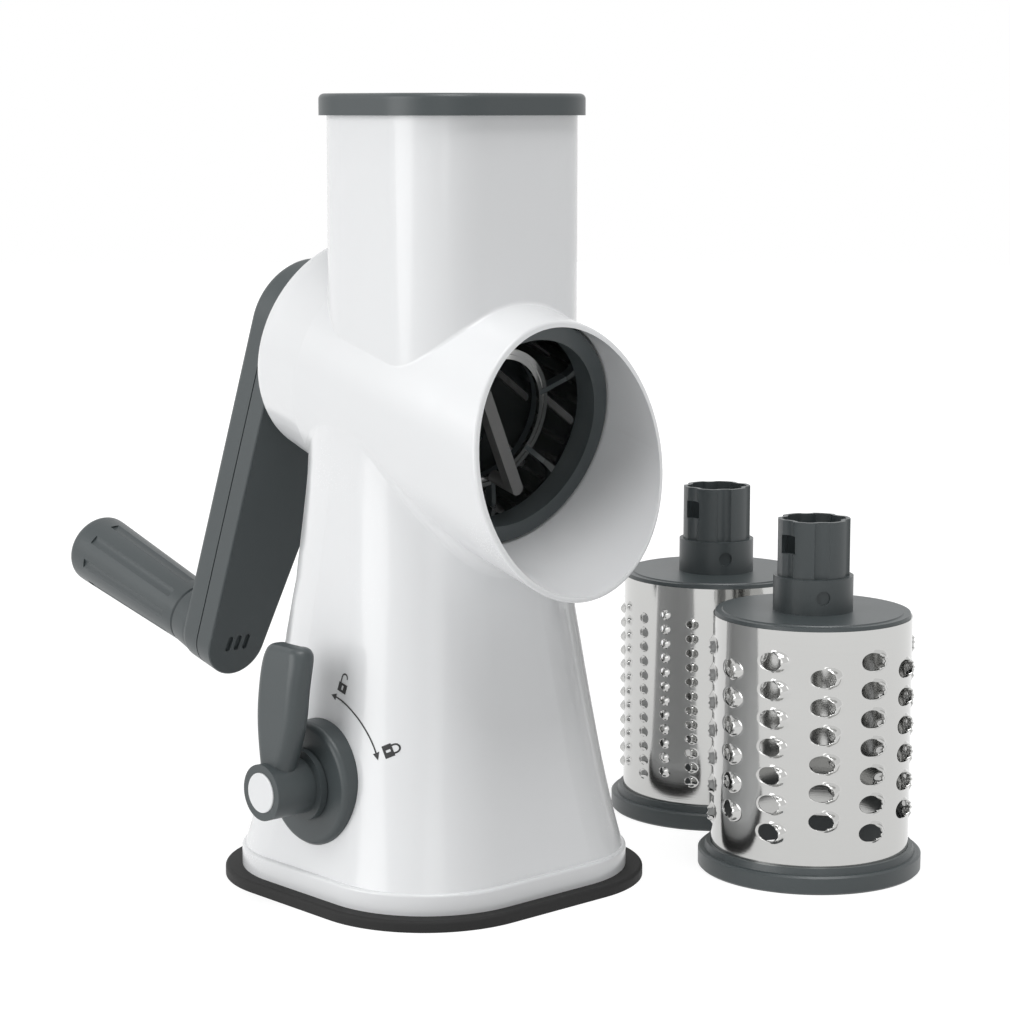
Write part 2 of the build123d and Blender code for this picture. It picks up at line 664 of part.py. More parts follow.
def drum_back():
    """The back plate with its boss and the lobed, hollow spigot."""
    plug = SHELL_RADIUS - SHELL_THICK - SEAT
    back = turned((
        (0, SHELL_BACK),
        (plug - BACK_SKIRT, SHELL_BACK),
        (plug - BACK_SKIRT, SHELL_BACK + BACK_SKIRT_DEPTH),
        (plug, SHELL_BACK + BACK_SKIRT_DEPTH),
        (plug, SHELL_BACK),
        (SHELL_RADIUS - BACK_EDGE, SHELL_BACK),
        (SHELL_RADIUS - 2 * BACK_EDGE, BACK_FACE + BACK_EDGE),
        (RAISED_DISC + BACK_EDGE, BACK_FACE + BACK_EDGE),
        (RAISED_DISC, BACK_FACE),
        (0, BACK_FACE),
    ))
    back += rod(BOSS_RADIUS, BACK_FACE, BOSS_END)
    back += slab(lobed(0), SPIGOT_END, BOSS_END)
    back -= slab(lobed(-SPIGOT_WALL), SPIGOT_END, BACK_FACE)
    window = Pos(SPIGOT_RADIUS, 0, SPIGOT_END + WINDOW_SETBACK + WINDOW_HEIGHT / 2)
    back -= Rot(0, 0, WINDOW_ANGLE) * window * Box(WINDOW_DEPTH, WINDOW_WIDTH, WINDOW_HEIGHT)
    dimple = Pos(BOSS_RADIUS, 0, (BACK_FACE + BOSS_END) / 2) * Rot(0, 90, 0)
    back -= Rot(0, 0, DIMPLE_ANGLE) * dimple * Cylinder(DIMPLE_RADIUS, 2 * DIMPLE_DEPTH)
    return back


def foot_turn():
    """The angle between the pull bar's direction and each of its feet."""
    return degrees(asin(PULL_OFFSET / PULL_FOOT))


def spider_arms(grow):
    """The spider's arms from its hub to the steel, grown by a clearance."""
    start = HOOP_RADIUS - HOOP_BAND + SPIDER_RIM
    outline = Pos((start + SHELL_RADIUS) / 2, 0) * Rectangle(SHELL_RADIUS - start, SPIDER_ARM + 2 * grow)
    arm = slab(outline, HOOP_FACE - HOOP_THICK - SPIDER_ARM - grow, HOOP_FACE)
    feet = (PULL_ANGLE + foot_turn(), PULL_ANGLE + 180 - foot_turn())
    return [Rot(0, 0, angle) * arm for angle in SPIDER_ANGLES + feet]


def ring_spider():
    """Arms inside the slicing drum's steel, and the hub that carries the hoop."""
    front = HOOP_FACE - HOOP_THICK
    hub = tube(HOOP_RADIUS - SPIDER_RIM, HOOP_RADIUS - HOOP_BAND + SPIDER_RIM, front - SPIDER_THICK, front)
    for arm in spider_arms(0):
        hub += arm
    return hub & rod(SPIDER_REACH, front - SPIDER_THICK - SPIDER_ARM, HOOP_FACE)


def inner_hoop():
    """The bright hoop on the spider's hub, with a fine groove in its face."""
    hoop = tube(HOOP_RADIUS, HOOP_RADIUS - HOOP_BAND, HOOP_FACE, HOOP_FACE - HOOP_THICK)
    middle = HOOP_RADIUS - HOOP_BAND / 2
    half = HOOP_GROOVE / 2
    hoop -= tube(middle + half, middle - half, HOOP_FACE, HOOP_FACE - HOOP_GROOVE)
    return hoop - spider_arms(SEAT)


def pull_bar():
    """The bar across the hoop, to pull the drum out by."""
    half = PULL_FOOT * cos(radians(foot_turn()))
    top = RING_FACE - PULL_SETBACK
    bar = Pos(0, PULL_OFFSET, top - PULL_WIDTH / 2) * Box(2 * half, PULL_WIDTH, PULL_WIDTH)
    for side in (-1, 1):
        bar += Pos(side * half, PULL_OFFSET, 0) * rod(PULL_WIDTH / 2, HOOP_FACE, top)
    return Rot(0, 0, PULL_ANGLE) * bar


def standing(spot, turn):
    """Where a spare drum stands on its ring, with the spigot up."""
    heading = (cos(radians(turn)), sin(radians(turn)), 0)
    return Plane(origin=(spot[0], spot[1], RING_FACE), x_dir=heading, z_dir=(0, 0, -1)).location


# ---------------------------------------------------------------- crank
def arm_screw_spots():
    """Places of the three screws along the arm."""
    spots = []
    for share in ARM_SCREW_SHARES:
        spots.append((GRIP_X * share, GRIP_Y * share))
    return spots


def crank_inner_cover():
    """The half of the arm that faces the barrel."""
    cover = slab(teardrop(ARM_HUB, ARM_END), SEAM_FACE, ARM_FACE)
    face = rim_at(cover, ARM_FACE)
    cover = fillet(face, ARM_EDGE)
    hollow = slab(teardrop(ARM_HUB - ARM_WALL, ARM_END - ARM_WALL), SEAM_FACE, ARM_FACE - ARM_WALL)
    hollow -= rod(HUB_RADIUS + ARM_WALL, SEAM_FACE, ARM_FACE)
    hollow -= Pos(GRIP_X, GRIP_Y, 0) * rod(PIN_RADIUS + ARM_WALL, SEAM_FACE, ARM_FACE)
    for spot in arm_screw_spots():
        hollow -= Pos(spot[0], spot[1], 0) * rod(ARM_SCREW_POST, SEAM_FACE, ARM_FACE)
    cover -= hollow
    cover -= rod(HUB_RADIUS + SEAT, SEAM_FACE, BOSS_END - SLIDING)
    cover -= rod(BOSS_RADIUS + SLIDING, BOSS_END - SLIDING, ARM_FACE)
    cover -= Pos(GRIP_X, GRIP_Y, 0) * rod(PIN_RADIUS + SEAT, SEAM_FACE, ARM_FACE - ARM_WALL)
    for spot in arm_screw_spots():
        cover -= Pos(spot[0], spot[1], 0) * rod(ARM_SCREW + SEAT, SEAM_FACE, ARM_FACE - ARM_WALL)
    vent = SlotOverall(VENT_LENGTH, VENT_WIDTH)
    for index in range(VENTS):
        shift = (index - (VENTS - 1) / 2) * VENT_PITCH
        place = Pos(GRIP_X + shift, GRIP_Y, ARM_FACE - ARM_WALL / 2) * Rot(0, 0, VENT_TURN)
        cover -= place * extrude(vent, ARM_WALL)
    return DRUM_FRAME * cover


def crank_outer_cover():
    """The outer half of the arm, with the stub that the grip turns against."""
    cover = slab(teardrop(ARM_HUB, ARM_END), ARM_BACK, SEAM_FACE - SEAT)
    face = rim_at(cover, ARM_BACK)
    cover = fillet(face, ARM_ROUND)
    hollow = slab(teardrop(ARM_HUB - ARM_WALL, ARM_END - ARM_WALL), ARM_BACK + ARM_WALL, SEAM_FACE)
    hollow -= rod(HUB_RADIUS + ARM_WALL, ARM_BACK, SEAM_FACE)
    hollow -= Pos(GRIP_X, GRIP_Y, 0) * rod(PIN_RADIUS + ARM_WALL, ARM_BACK, SEAM_FACE)
    for spot in arm_screw_spots():
        hollow -= Pos(spot[0], spot[1], 0) * rod(ARM_SCREW_POST, ARM_BACK, SEAM_FACE)
    cover -= hollow
    span = 4 * CRANK_LENGTH     # wider than the whole arm
    around = Rectangle(span, span) - teardrop(ARM_HUB - SEAM_DEPTH, ARM_END - SEAM_DEPTH)
    cover -= slab(around, SEAM_FACE - SEAT - SEAM_WIDTH, SEAM_FACE)
    stub = turned((
        (0, ARM_BACK + ARM_WALL),
        (ARM_END - STUB_EDGE, ARM_BACK + ARM_WALL),
        (ARM_END - STUB_EDGE, ARM_BACK),
        (STUB_RADIUS, STUB_END),
        (0, STUB_END),
    ))
    cover += Pos(GRIP_X, GRIP_Y, 0) * stub
    cover -= rod(HUB_RADIUS + SEAT, ARM_BACK, SEAM_FACE)
    cover -= Pos(GRIP_X, GRIP_Y, 0) * rod(PIN_RADIUS + SEAT, STUB_END, SEAM_FACE)
    for spot in arm_screw_spots():
        cover -= Pos(spot[0], spot[1], 0) * rod(ARM_SCREW + SEAT, ARM_BACK, SEAM_FACE)
    return DRUM_FRAME * cover


def crank_drive_hub():
    """The socket that grips the lobed spigot, with the button's hole in its floor."""
    hub = rod(HUB_RADIUS, BOSS_END - SLIDING, HUB_END)
    rim = rim_at(hub, HUB_END)
    hub = fillet(rim, HUB_ROUND)
    hub -= slab(lobed(SEAT), SOCKET_END, BOSS_END)
    hub -= rod(BUTTON_RADIUS + RUNNING, HUB_END, SOCKET_END)
    return DRUM_FRAME * hub


def crank_screws():
    """Three screws from the arm's outer face."""
    screws = []
    for spot in arm_screw_spots():
        head = rod(ARM_SCREW_HEAD, ARM_BACK - ARM_SCREW_HEAD_THICK, ARM_BACK)
        shank = rod(ARM_SCREW, ARM_BACK, ARM_FACE - ARM_WALL - SLIDING)
        screws.append(DRUM_FRAME * Pos(spot[0], spot[1], 0) * (head + shank))
    return Compound(children=screws)


def grip_pin():
    """The steel pin through the grip, with its retaining head."""
    neck_end = GRIP_END - PIN_SPARE
    pin = rod(PIN_RADIUS, ARM_FACE - ARM_WALL - SLIDING, neck_end)
    head = rod(PIN_RADIUS + PIN_HEAD, neck_end, neck_end - PIN_HEAD_THICK)
    return DRUM_FRAME * Pos(GRIP_X, GRIP_Y, 0) * (pin + head)


def release_button():
    """The round button in the hub, which frees the drum."""
    flange_back = SOCKET_END + SEAT
    button = rod(BUTTON_RADIUS, flange_back, HUB_END - BUTTON_PROUD)
    rim = rim_at(button, HUB_END - BUTTON_PROUD)
    button = fillet(rim, BUTTON_ROUND)
    button += rod(BUTTON_FLANGE, flange_back, flange_back + BUTTON_FLANGE_THICK)
    return DRUM_FRAME * button


# ---------------------------------------------------------------- grip
def grip_sleeve():
    """The tapered, fluted sleeve that turns on the pin."""
    sleeve = turned((
        (0, GRIP_START),
        (GRIP_NECK - GRIP_EDGE, GRIP_START),
        (GRIP_NECK, GRIP_START - GRIP_EDGE),
        (GRIP_BELLY, GRIP_END),
        (0, GRIP_END),
    ))
    flute_length = GRIP_SLEEVE - 2 * FLUTE_MARGIN
    taper = degrees(atan2(GRIP_BELLY - GRIP_NECK, GRIP_SLEEVE))
    reach = (GRIP_NECK + GRIP_BELLY) / 2 - FLUTE_DEPTH + FLUTE_CUTTER
    middle = (GRIP_START + GRIP_END) / 2
    for angle in spin(FLUTES, FLUTE_PHASE):
        tool = Rot(0, -taper, 0) * Cylinder(FLUTE_CUTTER, flute_length)
        sleeve -= Rot(0, 0, angle) * Pos(reach, 0, middle) * tool
    sleeve -= rod(PIN_RADIUS + RUNNING, GRIP_START, GRIP_END)
    return DRUM_FRAME * Pos(GRIP_X, GRIP_Y, 0) * sleeve


def grip_end_cap():
    """The domed end of the grip, hollow round the pin's head."""
    shoulder = GRIP_END - DOME_SHOULDER
    outline = Polyline((0, GRIP_END), (GRIP_BELLY, GRIP_END), (GRIP_BELLY, shoulder))
    dome = EllipticalCenterArc(
        (0, shoulder),
        GRIP_BELLY,
        GRIP_DOME - DOME_SHOULDER,
        start_angle=270,
        arc_size=90,
    )
    closing = Line((0, GRIP_END - GRIP_DOME), (0, GRIP_END))
    cap = revolve(Plane.XZ * make_face(outline + dome + closing), Axis.Z)
    room = PIN_SPARE + PIN_HEAD_THICK + SLIDING
    cap -= rod(PIN_RADIUS + PIN_HEAD + SLIDING, GRIP_END, GRIP_END - room)
    return DRUM_FRAME * Pos(GRIP_X, GRIP_Y, 0) * cap


# ---------------------------------------------------------------- lever and suction stem
def lever_paddle():
    """The lever's hub and its upright paddle."""
    root = ESCUTCHEON_FACE + SLIDING
    hub = rod(LEVER_FLANGE, root, root + LEVER_FLANGE_THICK)
    hub += rod(LEVER_HUB, root, LEVER_END)
    foot = LEVER_HEIGHT
    sections = []
    for share, scale in PADDLE_SHAPE:
        level = foot + share * (PADDLE_TOP - foot)
        outline = rounded(PADDLE_THICK / 2, PADDLE_WIDTH * scale / 2, PADDLE_CORNER)
        sections.append(Pos(-PADDLE_FROM + PADDLE_LEAN * share ** 3, 0, level) * outline)
    blade = loft(sections)
    crown = rim_at(blade, PADDLE_TOP)
    blade = fillet(crown, PADDLE_CROWN)
    lever = LEVER_FRAME * hub + blade
    lever -= LEVER_FRAME * rod(CAP_RADIUS + SEAT, LEVER_END - CAP_THICK, LEVER_END)
    lever -= LEVER_FRAME * rod(SHAFT_RADIUS + SEAT, root, LEVER_END - CAP_THICK)
    return lever


def lever_cap():
    """The white disc that closes the hub."""
    cap = rod(CAP_RADIUS, LEVER_END - CAP_THICK + SEAT, LEVER_END + CAP_PROUD)
    rim = rim_at(cap, LEVER_END + CAP_PROUD)
    return LEVER_FRAME * fillet(rim, CAP_ROUND)


def lever_screw():
    """The screw that holds the lever on the shaft, under the cap."""
    seat = LEVER_END - CAP_THICK - CAP_ROOM
    shank = rod(LEVER_SCREW, seat - LEVER_SCREW_LENGTH, seat)
    head = rod(LEVER_SCREW_HEAD, seat, seat + LEVER_SCREW_HEAD_THICK)
    return LEVER_FRAME * (shank + head)


def cam_shaft():
    """The shaft through the wall, with the eccentric cam that lifts the stem."""
    tip = LEVER_END - CAP_THICK - CAP_ROOM - SEAT
    inner = -(CHEEK_FACE + CHEEK_THICK + SHAFT_SPARE)
    shaft = LEVER_FRAME * rod(SHAFT_RADIUS, inner, tip)
    cam = Pos(CAM_DROP, -CAM_DROP, 0) * rod(CAM_RADIUS, -CAM_THICK / 2, CAM_THICK / 2)
    shaft += Plane(origin=(0, 0, LEVER_HEIGHT), x_dir=(0, 1, 0), z_dir=(1, 0, 0)).location * cam
    shaft -= LEVER_FRAME * rod(LEVER_SCREW + SEAT, tip - LEVER_SCREW_LENGTH, tip)
    return shaft


def suction_stem():
    """The stem with its yoke round the cam and its foot in the pad."""
    low = CAM_LEVEL - CAM_RADIUS - SLIDING - YOKE_WALL
    high = CAM_LEVEL + CAM_RADIUS + SLIDING + YOKE_WALL
    foot = PAD_THICK - STEM_FOOT_THICK
    stem = rod(STEM_RADIUS, foot, low + OVERLAP)
    stem += rod(STEM_FOOT, foot, foot + STEM_FOOT_THICK)
    thick = CAM_THICK - 2 * SEAT
    frame_half = YOKE_HALF + YOKE_WALL
    stem += Pos(0, 0, (low + high) / 2) * Box(thick, 2 * frame_half, high - low)
    stem -= Pos(0, 0, CAM_LEVEL) * Box(2 * thick, 2 * YOKE_HALF, 2 * (CAM_RADIUS + SLIDING))
    return stem


# ---------------------------------------------------------------- the nodes
COARSE_PLACE = standing(COARSE_SPOT, COARSE_TURN)
FINE_PLACE = standing(FINE_SPOT, FINE_TURN)

NODES = {
    "body_shell": body_shell(),
    "base_skirt": base_skirt(),
    "base_plate": base_plate(),
    "base_screws": base_screws(),
    "suction_pad": suction_pad(),
    "lever_escutcheon": lever_escutcheon(),
    "cam_bracket": cam_bracket(),
    "rear_bush": rear_bush(),
    "pusher_lid": pusher_lid(),
    "pusher_plunger": pusher_plunger(),
    "slicer_ring": DRUM_FRAME * drum_ring(),
    "slicer_shell": DRUM_FRAME * slicer_shell(),
    "slicer_back": DRUM_FRAME * drum_back(),
    "slicer_spider": DRUM_FRAME * ring_spider(),
    "slicer_hoop": DRUM_FRAME * inner_hoop(),
    "slicer_pull_bar": DRUM_FRAME * pull_bar(),
    "crank_inner_cover": crank_inner_cover(),
    "crank_outer_cover": crank_outer_cover(),
    "crank_drive_hub": crank_drive_hub(),
    "crank_screws": crank_screws(),
    "grip_pin": grip_pin(),
    "release_button": release_button(),
    "grip_sleeve": grip_sleeve(),
    "grip_end_cap": grip_end_cap(),
    "lever_paddle": lever_paddle(),
    "lever_cap": lever_cap(),
    "lever_screw": lever_screw(),
    "cam_shaft": cam_shaft(),
    "suction_stem": suction_stem(),
    "coarse_ring": COARSE_PLACE * drum_ring(),
    "coarse_shell": COARSE_PLACE * coarse_shell(),
    "coarse_back": COARSE_PLACE * drum_back(),
    "fine_ring": FINE_PLACE * drum_ring(),
    "fine_shell": FINE_PLACE * fine_shell(),
    "fine_back": FINE_PLACE * drum_back(),
}

os.makedirs("parts", exist_ok=True)
for name, shape in NODES.items():
    export_step(shape, f"parts/{name}.step")
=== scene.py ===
# %% [markdown]
# # A drum shredder, from frame to finish
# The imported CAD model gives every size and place. This lesson dresses it: it keeps the moulded
# pieces whose shape is right, punches the teeth of the two spare drums, prints the marks beside
# the lever and then lights the whole. Lengths are in metres, as in the frame.

# %% Load the frame
import json
from math import atan2, cos, exp, pi, radians, sin, sqrt

import bmesh
import bpy
from mathutils import Matrix, Vector
from mathutils.bvhtree import BVHTree


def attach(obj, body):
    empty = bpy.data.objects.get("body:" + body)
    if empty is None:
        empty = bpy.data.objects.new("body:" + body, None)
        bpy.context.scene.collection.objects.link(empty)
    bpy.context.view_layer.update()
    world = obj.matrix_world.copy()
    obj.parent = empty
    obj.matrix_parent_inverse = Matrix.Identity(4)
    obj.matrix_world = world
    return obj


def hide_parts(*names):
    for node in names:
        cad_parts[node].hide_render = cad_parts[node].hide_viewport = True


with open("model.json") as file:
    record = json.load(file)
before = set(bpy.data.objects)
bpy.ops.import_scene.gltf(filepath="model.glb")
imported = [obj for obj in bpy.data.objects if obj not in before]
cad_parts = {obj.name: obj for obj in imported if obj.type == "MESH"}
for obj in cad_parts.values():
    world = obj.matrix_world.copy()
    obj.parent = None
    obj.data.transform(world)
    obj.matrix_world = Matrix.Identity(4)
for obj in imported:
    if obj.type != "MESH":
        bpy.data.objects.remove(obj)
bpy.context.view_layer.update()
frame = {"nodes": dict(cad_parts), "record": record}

MM = 0.001
SAME_POINT = 2e-6
nodes = frame["nodes"]

# %% [markdown]
# ## A small language for shader sums
# A finish is a graph of nodes, which is slow to read when every sum is three lines. Here a socket is
# wrapped in a class, so that `1 - grain * 0.2` adds its Math nodes by itself. Every other node comes
# from one method that takes the node's type, its settings and what goes into its sockets.

# %% The wrapped socket
class Signal:
    """One output socket that can be used in a sum."""

    def __init__(self, tree, socket):
        self.tree = tree
        self.socket = socket

    def combine(self, operation, first, second):
        maths = self.tree.nodes.new("ShaderNodeMath")
        maths.operation = operation
        for place, value in zip(maths.inputs, (first, second)):
            feed(self.tree, place, value)
        return Signal(self.tree, maths.outputs[0])

    def __add__(self, other):
        return self.combine("ADD", self, other)

    def __sub__(self, other):
        return self.combine("SUBTRACT", self, other)

    def __rsub__(self, other):
        return self.combine("SUBTRACT", other, self)

    def __mul__(self, other):
        return self.combine("MULTIPLY", self, other)


def feed(tree, place, value):
    """Links a signal to a socket, or sets the socket's own value."""
    if isinstance(value, Signal):
        tree.links.new(value.socket, place)
    else:
        place.default_value = value


# %% One finish
class Finish:
    """A material with one Principled shader, whose fixed values are set on its own sockets."""

    def __init__(self, name, fixed):
        self.material = bpy.data.materials.new(name)
        self.material.use_nodes = True
        self.tree = self.material.node_tree
        self.shader = self.tree.nodes["Principled BSDF"]
        for title, value in fixed.items():
            self.shader.inputs[title].default_value = value
        self.place = self.node("ShaderNodeTexCoord", {}, {}, "Object")

    def node(self, kind, settings, sockets, output=0):
        made = self.tree.nodes.new(kind)
        for title, value in settings.items():
            setattr(made, title, value)
        for title, value in sockets.items():
            feed(self.tree, made.inputs[title], value)
        return Signal(self.tree, made.outputs[output])

    def noise(self, scale, detail=2.0, stretch=(1, 1, 1)):
        place = self.node("ShaderNodeMapping", {}, {"Vector": self.place, "Scale": stretch})
        return self.node("ShaderNodeTexNoise", {}, {"Vector": place, "Scale": scale, "Detail": detail}, "Fac")

    def tint(self, low, high, factor):
        mix = self.tree.nodes.new("ShaderNodeMix")
        mix.data_type = "RGBA"
        feed(self.tree, mix.inputs[0], factor)
        mix.inputs[6].default_value = (*low, 1)
        mix.inputs[7].default_value = (*high, 1)
        return Signal(self.tree, mix.outputs[2])

    def bump(self, height, depth, strength):
        sockets = {"Height": height, "Distance": depth, "Strength": strength}
        return self.node("ShaderNodeBump", {}, sockets)

    def drive(self, title, signal):
        feed(self.tree, self.shader.inputs[title], signal)


# %% [markdown]
# ## The white moulding
# The stand is glossy white plastic. A perfect mirror coat would look like glass, so the roughness
# wanders a little, and a very shallow ripple bends the reflections as a moulded wall does. The tint
# hardly changes, because pigment is mixed all through the plastic.

# %% White plastic
def white_plastic():
    finish = Finish("white_moulding", {"IOR": 1.49, "Coat Roughness": 0.06, "Specular IOR Level": 0.5})
    cloud = finish.noise(14.0, 3.0)
    ripple = finish.noise(46.0, 1.0)
    grain = finish.noise(1900.0, 2.0)
    finish.drive("Base Color", finish.tint((0.79, 0.80, 0.81), (0.83, 0.84, 0.85), cloud))
    finish.drive("Roughness", cloud * 0.08 + grain * 0.05 + 0.19)
    finish.drive("Coat Weight", cloud * 0.15 + 0.2)
    finish.drive("Normal", finish.bump(ripple + grain * 0.05, 0.00012, 0.35))
    return finish.material


WHITE = white_plastic()
print("made", WHITE.name)

# %% [markdown]
# ## The slate moulding
# Lid, crank, grip, lever and drum ends are one dark slate plastic with a fine spark-eroded texture,
# which spreads the highlights into soft bands. Two layers of noise do it: one of half a millimetre
# for the texture and a slow one for the uneven sheen left by the mould and by hands.

# %% Slate plastic
def slate_plastic(name, low, high, sheen, texture):
    finish = Finish(name, {"IOR": 1.5})
    pores = finish.noise(2100.0, 3.0)
    patch = finish.noise(24.0, 4.0)
    finish.drive("Base Color", finish.tint(low, high, pores * 0.35 + patch * 0.65))
    finish.drive("Roughness", patch * 0.10 + pores * 0.08 + sheen)
    finish.drive("Normal", finish.bump(pores + patch * 0.3, 0.00006, texture))
    return finish.material


SLATE = slate_plastic("slate_moulding", (0.045, 0.055, 0.058), (0.062, 0.074, 0.077), 0.30, 0.35)
BAR = slate_plastic("bar_moulding", (0.085, 0.085, 0.083), (0.12, 0.12, 0.118), 0.36, 0.3)
INNER = slate_plastic("inner_moulding", (0.30, 0.31, 0.32), (0.36, 0.37, 0.38), 0.42, 0.3)
print("made", SLATE.name, BAR.name, INNER.name)

# %% [markdown]
# ## Rubber
# The pad is black, nearly matt rubber with a dusty bloom. Its noise is coarser than the plastic's,
# and it goes into the roughness and the bump more than into the colour.

# %% Rubber
def pad_rubber():
    finish = Finish("pad_rubber", {"IOR": 1.52, "Specular IOR Level": 0.35})
    bloom = finish.noise(60.0, 5.0)
    grit = finish.noise(1500.0, 3.0)
    finish.drive("Base Color", finish.tint((0.007, 0.007, 0.007), (0.017, 0.017, 0.017), bloom))
    finish.drive("Roughness", bloom * 0.12 + grit * 0.12 + 0.58)
    finish.drive("Normal", finish.bump(grit, 0.00009, 0.5))
    return finish.material


RUBBER = pad_rubber()
print("made", RUBBER.name)

# %% [markdown]
# ## Polished sheet steel
# The drums mirror the table and the stand, so the steel is fully metallic and almost smooth. Sheet
# is rolled, which leaves faint lines round the drum: noise stretched along the drum's length makes
# them, shallow enough that the mirror image stays whole. Smudges lift the roughness here and there.

# %% Steels
def sheet_steel(name, tone, polish, lines):
    finish = Finish(name, {"Metallic": 1.0})
    smudge = finish.noise(38.0, 4.0)
    rolled = finish.noise(160.0, 3.0, (0.12, 0.12, 22.0))
    low = tuple(0.93 * value for value in tone)
    finish.drive("Base Color", finish.tint(low, tone, smudge * 0.6 + rolled * 0.4))
    finish.drive("Roughness", smudge * 0.07 + rolled * 0.03 + polish)
    finish.drive("Normal", finish.bump(rolled, 0.00002, lines))
    return finish.material


STEEL = sheet_steel("drum_steel", (0.545, 0.545, 0.535), 0.05, 0.25)
SCREW_STEEL = sheet_steel("screw_steel", (0.60, 0.60, 0.61), 0.22, 0.4)
print("made", STEEL.name, SCREW_STEEL.name)

# %% [markdown]
# ## Finishes onto the CAD nodes
# The record already says which slot each node belongs to, so one table from slot to finish dresses
# every node. Only the object's material slots change. The meshes stay as they were packed.

# %% Dress the nodes
FINISHES = {
    "white_body": WHITE,
    "dark_grey": SLATE,
    "bar_grey": BAR,
    "inner_grey": INNER,
    "black_rubber": RUBBER,
    "drum_steel": STEEL,
    "screw_steel": SCREW_STEEL,
}
slot_of = {part["node"]: part["material_slot"] for part in frame["record"]["subparts"]}
for title, node in nodes.items():
    for place in node.material_slots:
        place.material = FINISHES[slot_of[title]]
print("dressed", len(slot_of), "nodes")

# %% [markdown]
# ## One punched tooth
# A grating drum is flat sheet, punched and then rolled. Each punch leaves an oval hole whose one
# edge is pushed out into a hooded lip. The tooth is modelled once as a flat tile with its hole in
# the middle: rings of points run from the hole's rim to the tile's straight edges, and a height
# rule lifts the hooded side. A tile is light, and hundreds of copies still join without cracks,
# because every tile has the same points along its edges.

# %% The tile's outline and height
HOOD_POWER = 0.8     # how broadly the lip spreads round the hole
DIP_SHARE = 0.12     # depth of the hole's other edge, as a share of the lip's lift
DIP_REACH = 0.12     # how soon that dip fades
EDGE_BAND = 0.3      # outer share of the zone in which the height goes back to nothing


def tile_edge(width, height, across, along):
    """Points round a rectangle, evenly spaced on each side, starting at its lower left corner."""
    points = []
    for step in range(across):
        points.append((width * (step / across - 0.5), -height / 2))
    for step in range(along):
        points.append((width / 2, height * (step / along - 0.5)))
    for step in range(across):
        points.append((width * (0.5 - step / across), height / 2))
    for step in range(along):
        points.append((-width / 2, height * (0.5 - step / along)))
    return points


def tooth_height(x, y, tooth):
    """How far a point of the tile is pushed out of the sheet. It is nothing outside the punch's zone."""
    reach = sqrt((x / tooth["half_x"]) ** 2 + (y / tooth["half_y"]) ** 2)
    zone = sqrt((x / tooth["zone_x"]) ** 2 + (y / tooth["zone_y"]) ** 2)
    toward = -x / tooth["half_x"] / max(reach, 1e-6)
    fade = exp(-max(0.0, (reach - 1.0) / tooth["slope"]) ** 1.5)
    window = min(1.0, max(0.0, (1.0 - zone) / EDGE_BAND)) ** 2
    hood = tooth["lift"] * max(0.0, toward) ** HOOD_POWER * fade
    ribs = 1.0 + tooth["ribs"] * cos(2 * pi * y / tooth["rib_pitch"])
    sunk = max(0.0, -toward) ** 2 * exp(-max(0.0, (reach - 1.0) / DIP_REACH))
    return (hood * ribs - DIP_SHARE * tooth["lift"] * sunk) * window


# %% The tile itself
def tooth_tile(name, tooth):
    """A flat tile with one hole and its hooded lip, as a mesh object that isn't shown."""
    edge = tile_edge(tooth["width"], tooth["height"], tooth["across"], tooth["along"])
    turns = [atan2(y / tooth["zone_y"], x / tooth["zone_x"]) for x, y in edge]
    sheet = bmesh.new()
    rings = []
    for ring in range(tooth["rings"] + 1):
        share = (ring / tooth["rings"]) ** 1.3
        half_x = tooth["half_x"] + share * (tooth["zone_x"] - tooth["half_x"])
        half_y = tooth["half_y"] + share * (tooth["zone_y"] - tooth["half_y"])
        around = [(half_x * cos(turn), half_y * sin(turn)) for turn in turns]
        rings.append([sheet.verts.new((x * MM, y * MM, tooth_height(x, y, tooth) * MM)) for x, y in around])
    rings.append([sheet.verts.new((x * MM, y * MM, 0.0)) for x, y in edge])
    count = len(edge)
    for inner, outer in zip(rings, rings[1:]):
        for index in range(count):
            after = (index + 1) % count
            sheet.faces.new((inner[index], outer[index], outer[after], inner[after]))
    mesh = bpy.data.meshes.new(name)
    sheet.to_mesh(mesh)
    sheet.free()
    return bpy.data.objects.new(name, mesh)


# %% [markdown]
# ## Rolling the sheet with Geometry Nodes
# What repeats is a rule: rows of tiles make a strip, plain sheet fills the strip's two ends, strips
# stand side by side, and the flat sheet is bent round the drum's axis. Written as a node tree with
# named inputs, the same rule makes the coarse drum and the fine drum, each as two families of
# strips, because neighbouring strips are shifted against each other.

# %% Helpers for the tree
SIZES = (
    ("Columns", "NodeSocketInt"), ("Rows", "NodeSocketInt"), ("Pitch", "NodeSocketFloat"),
    ("Middle", "NodeSocketFloat"), ("Low", "NodeSocketFloat"), ("High", "NodeSocketFloat"),
    ("Tile Width", "NodeSocketFloat"), ("Across", "NodeSocketInt"), ("Radius", "NodeSocketFloat"),
    ("Phase", "NodeSocketFloat"), ("Tile", "NodeSocketObject"), ("Finish", "NodeSocketMaterial"),
)


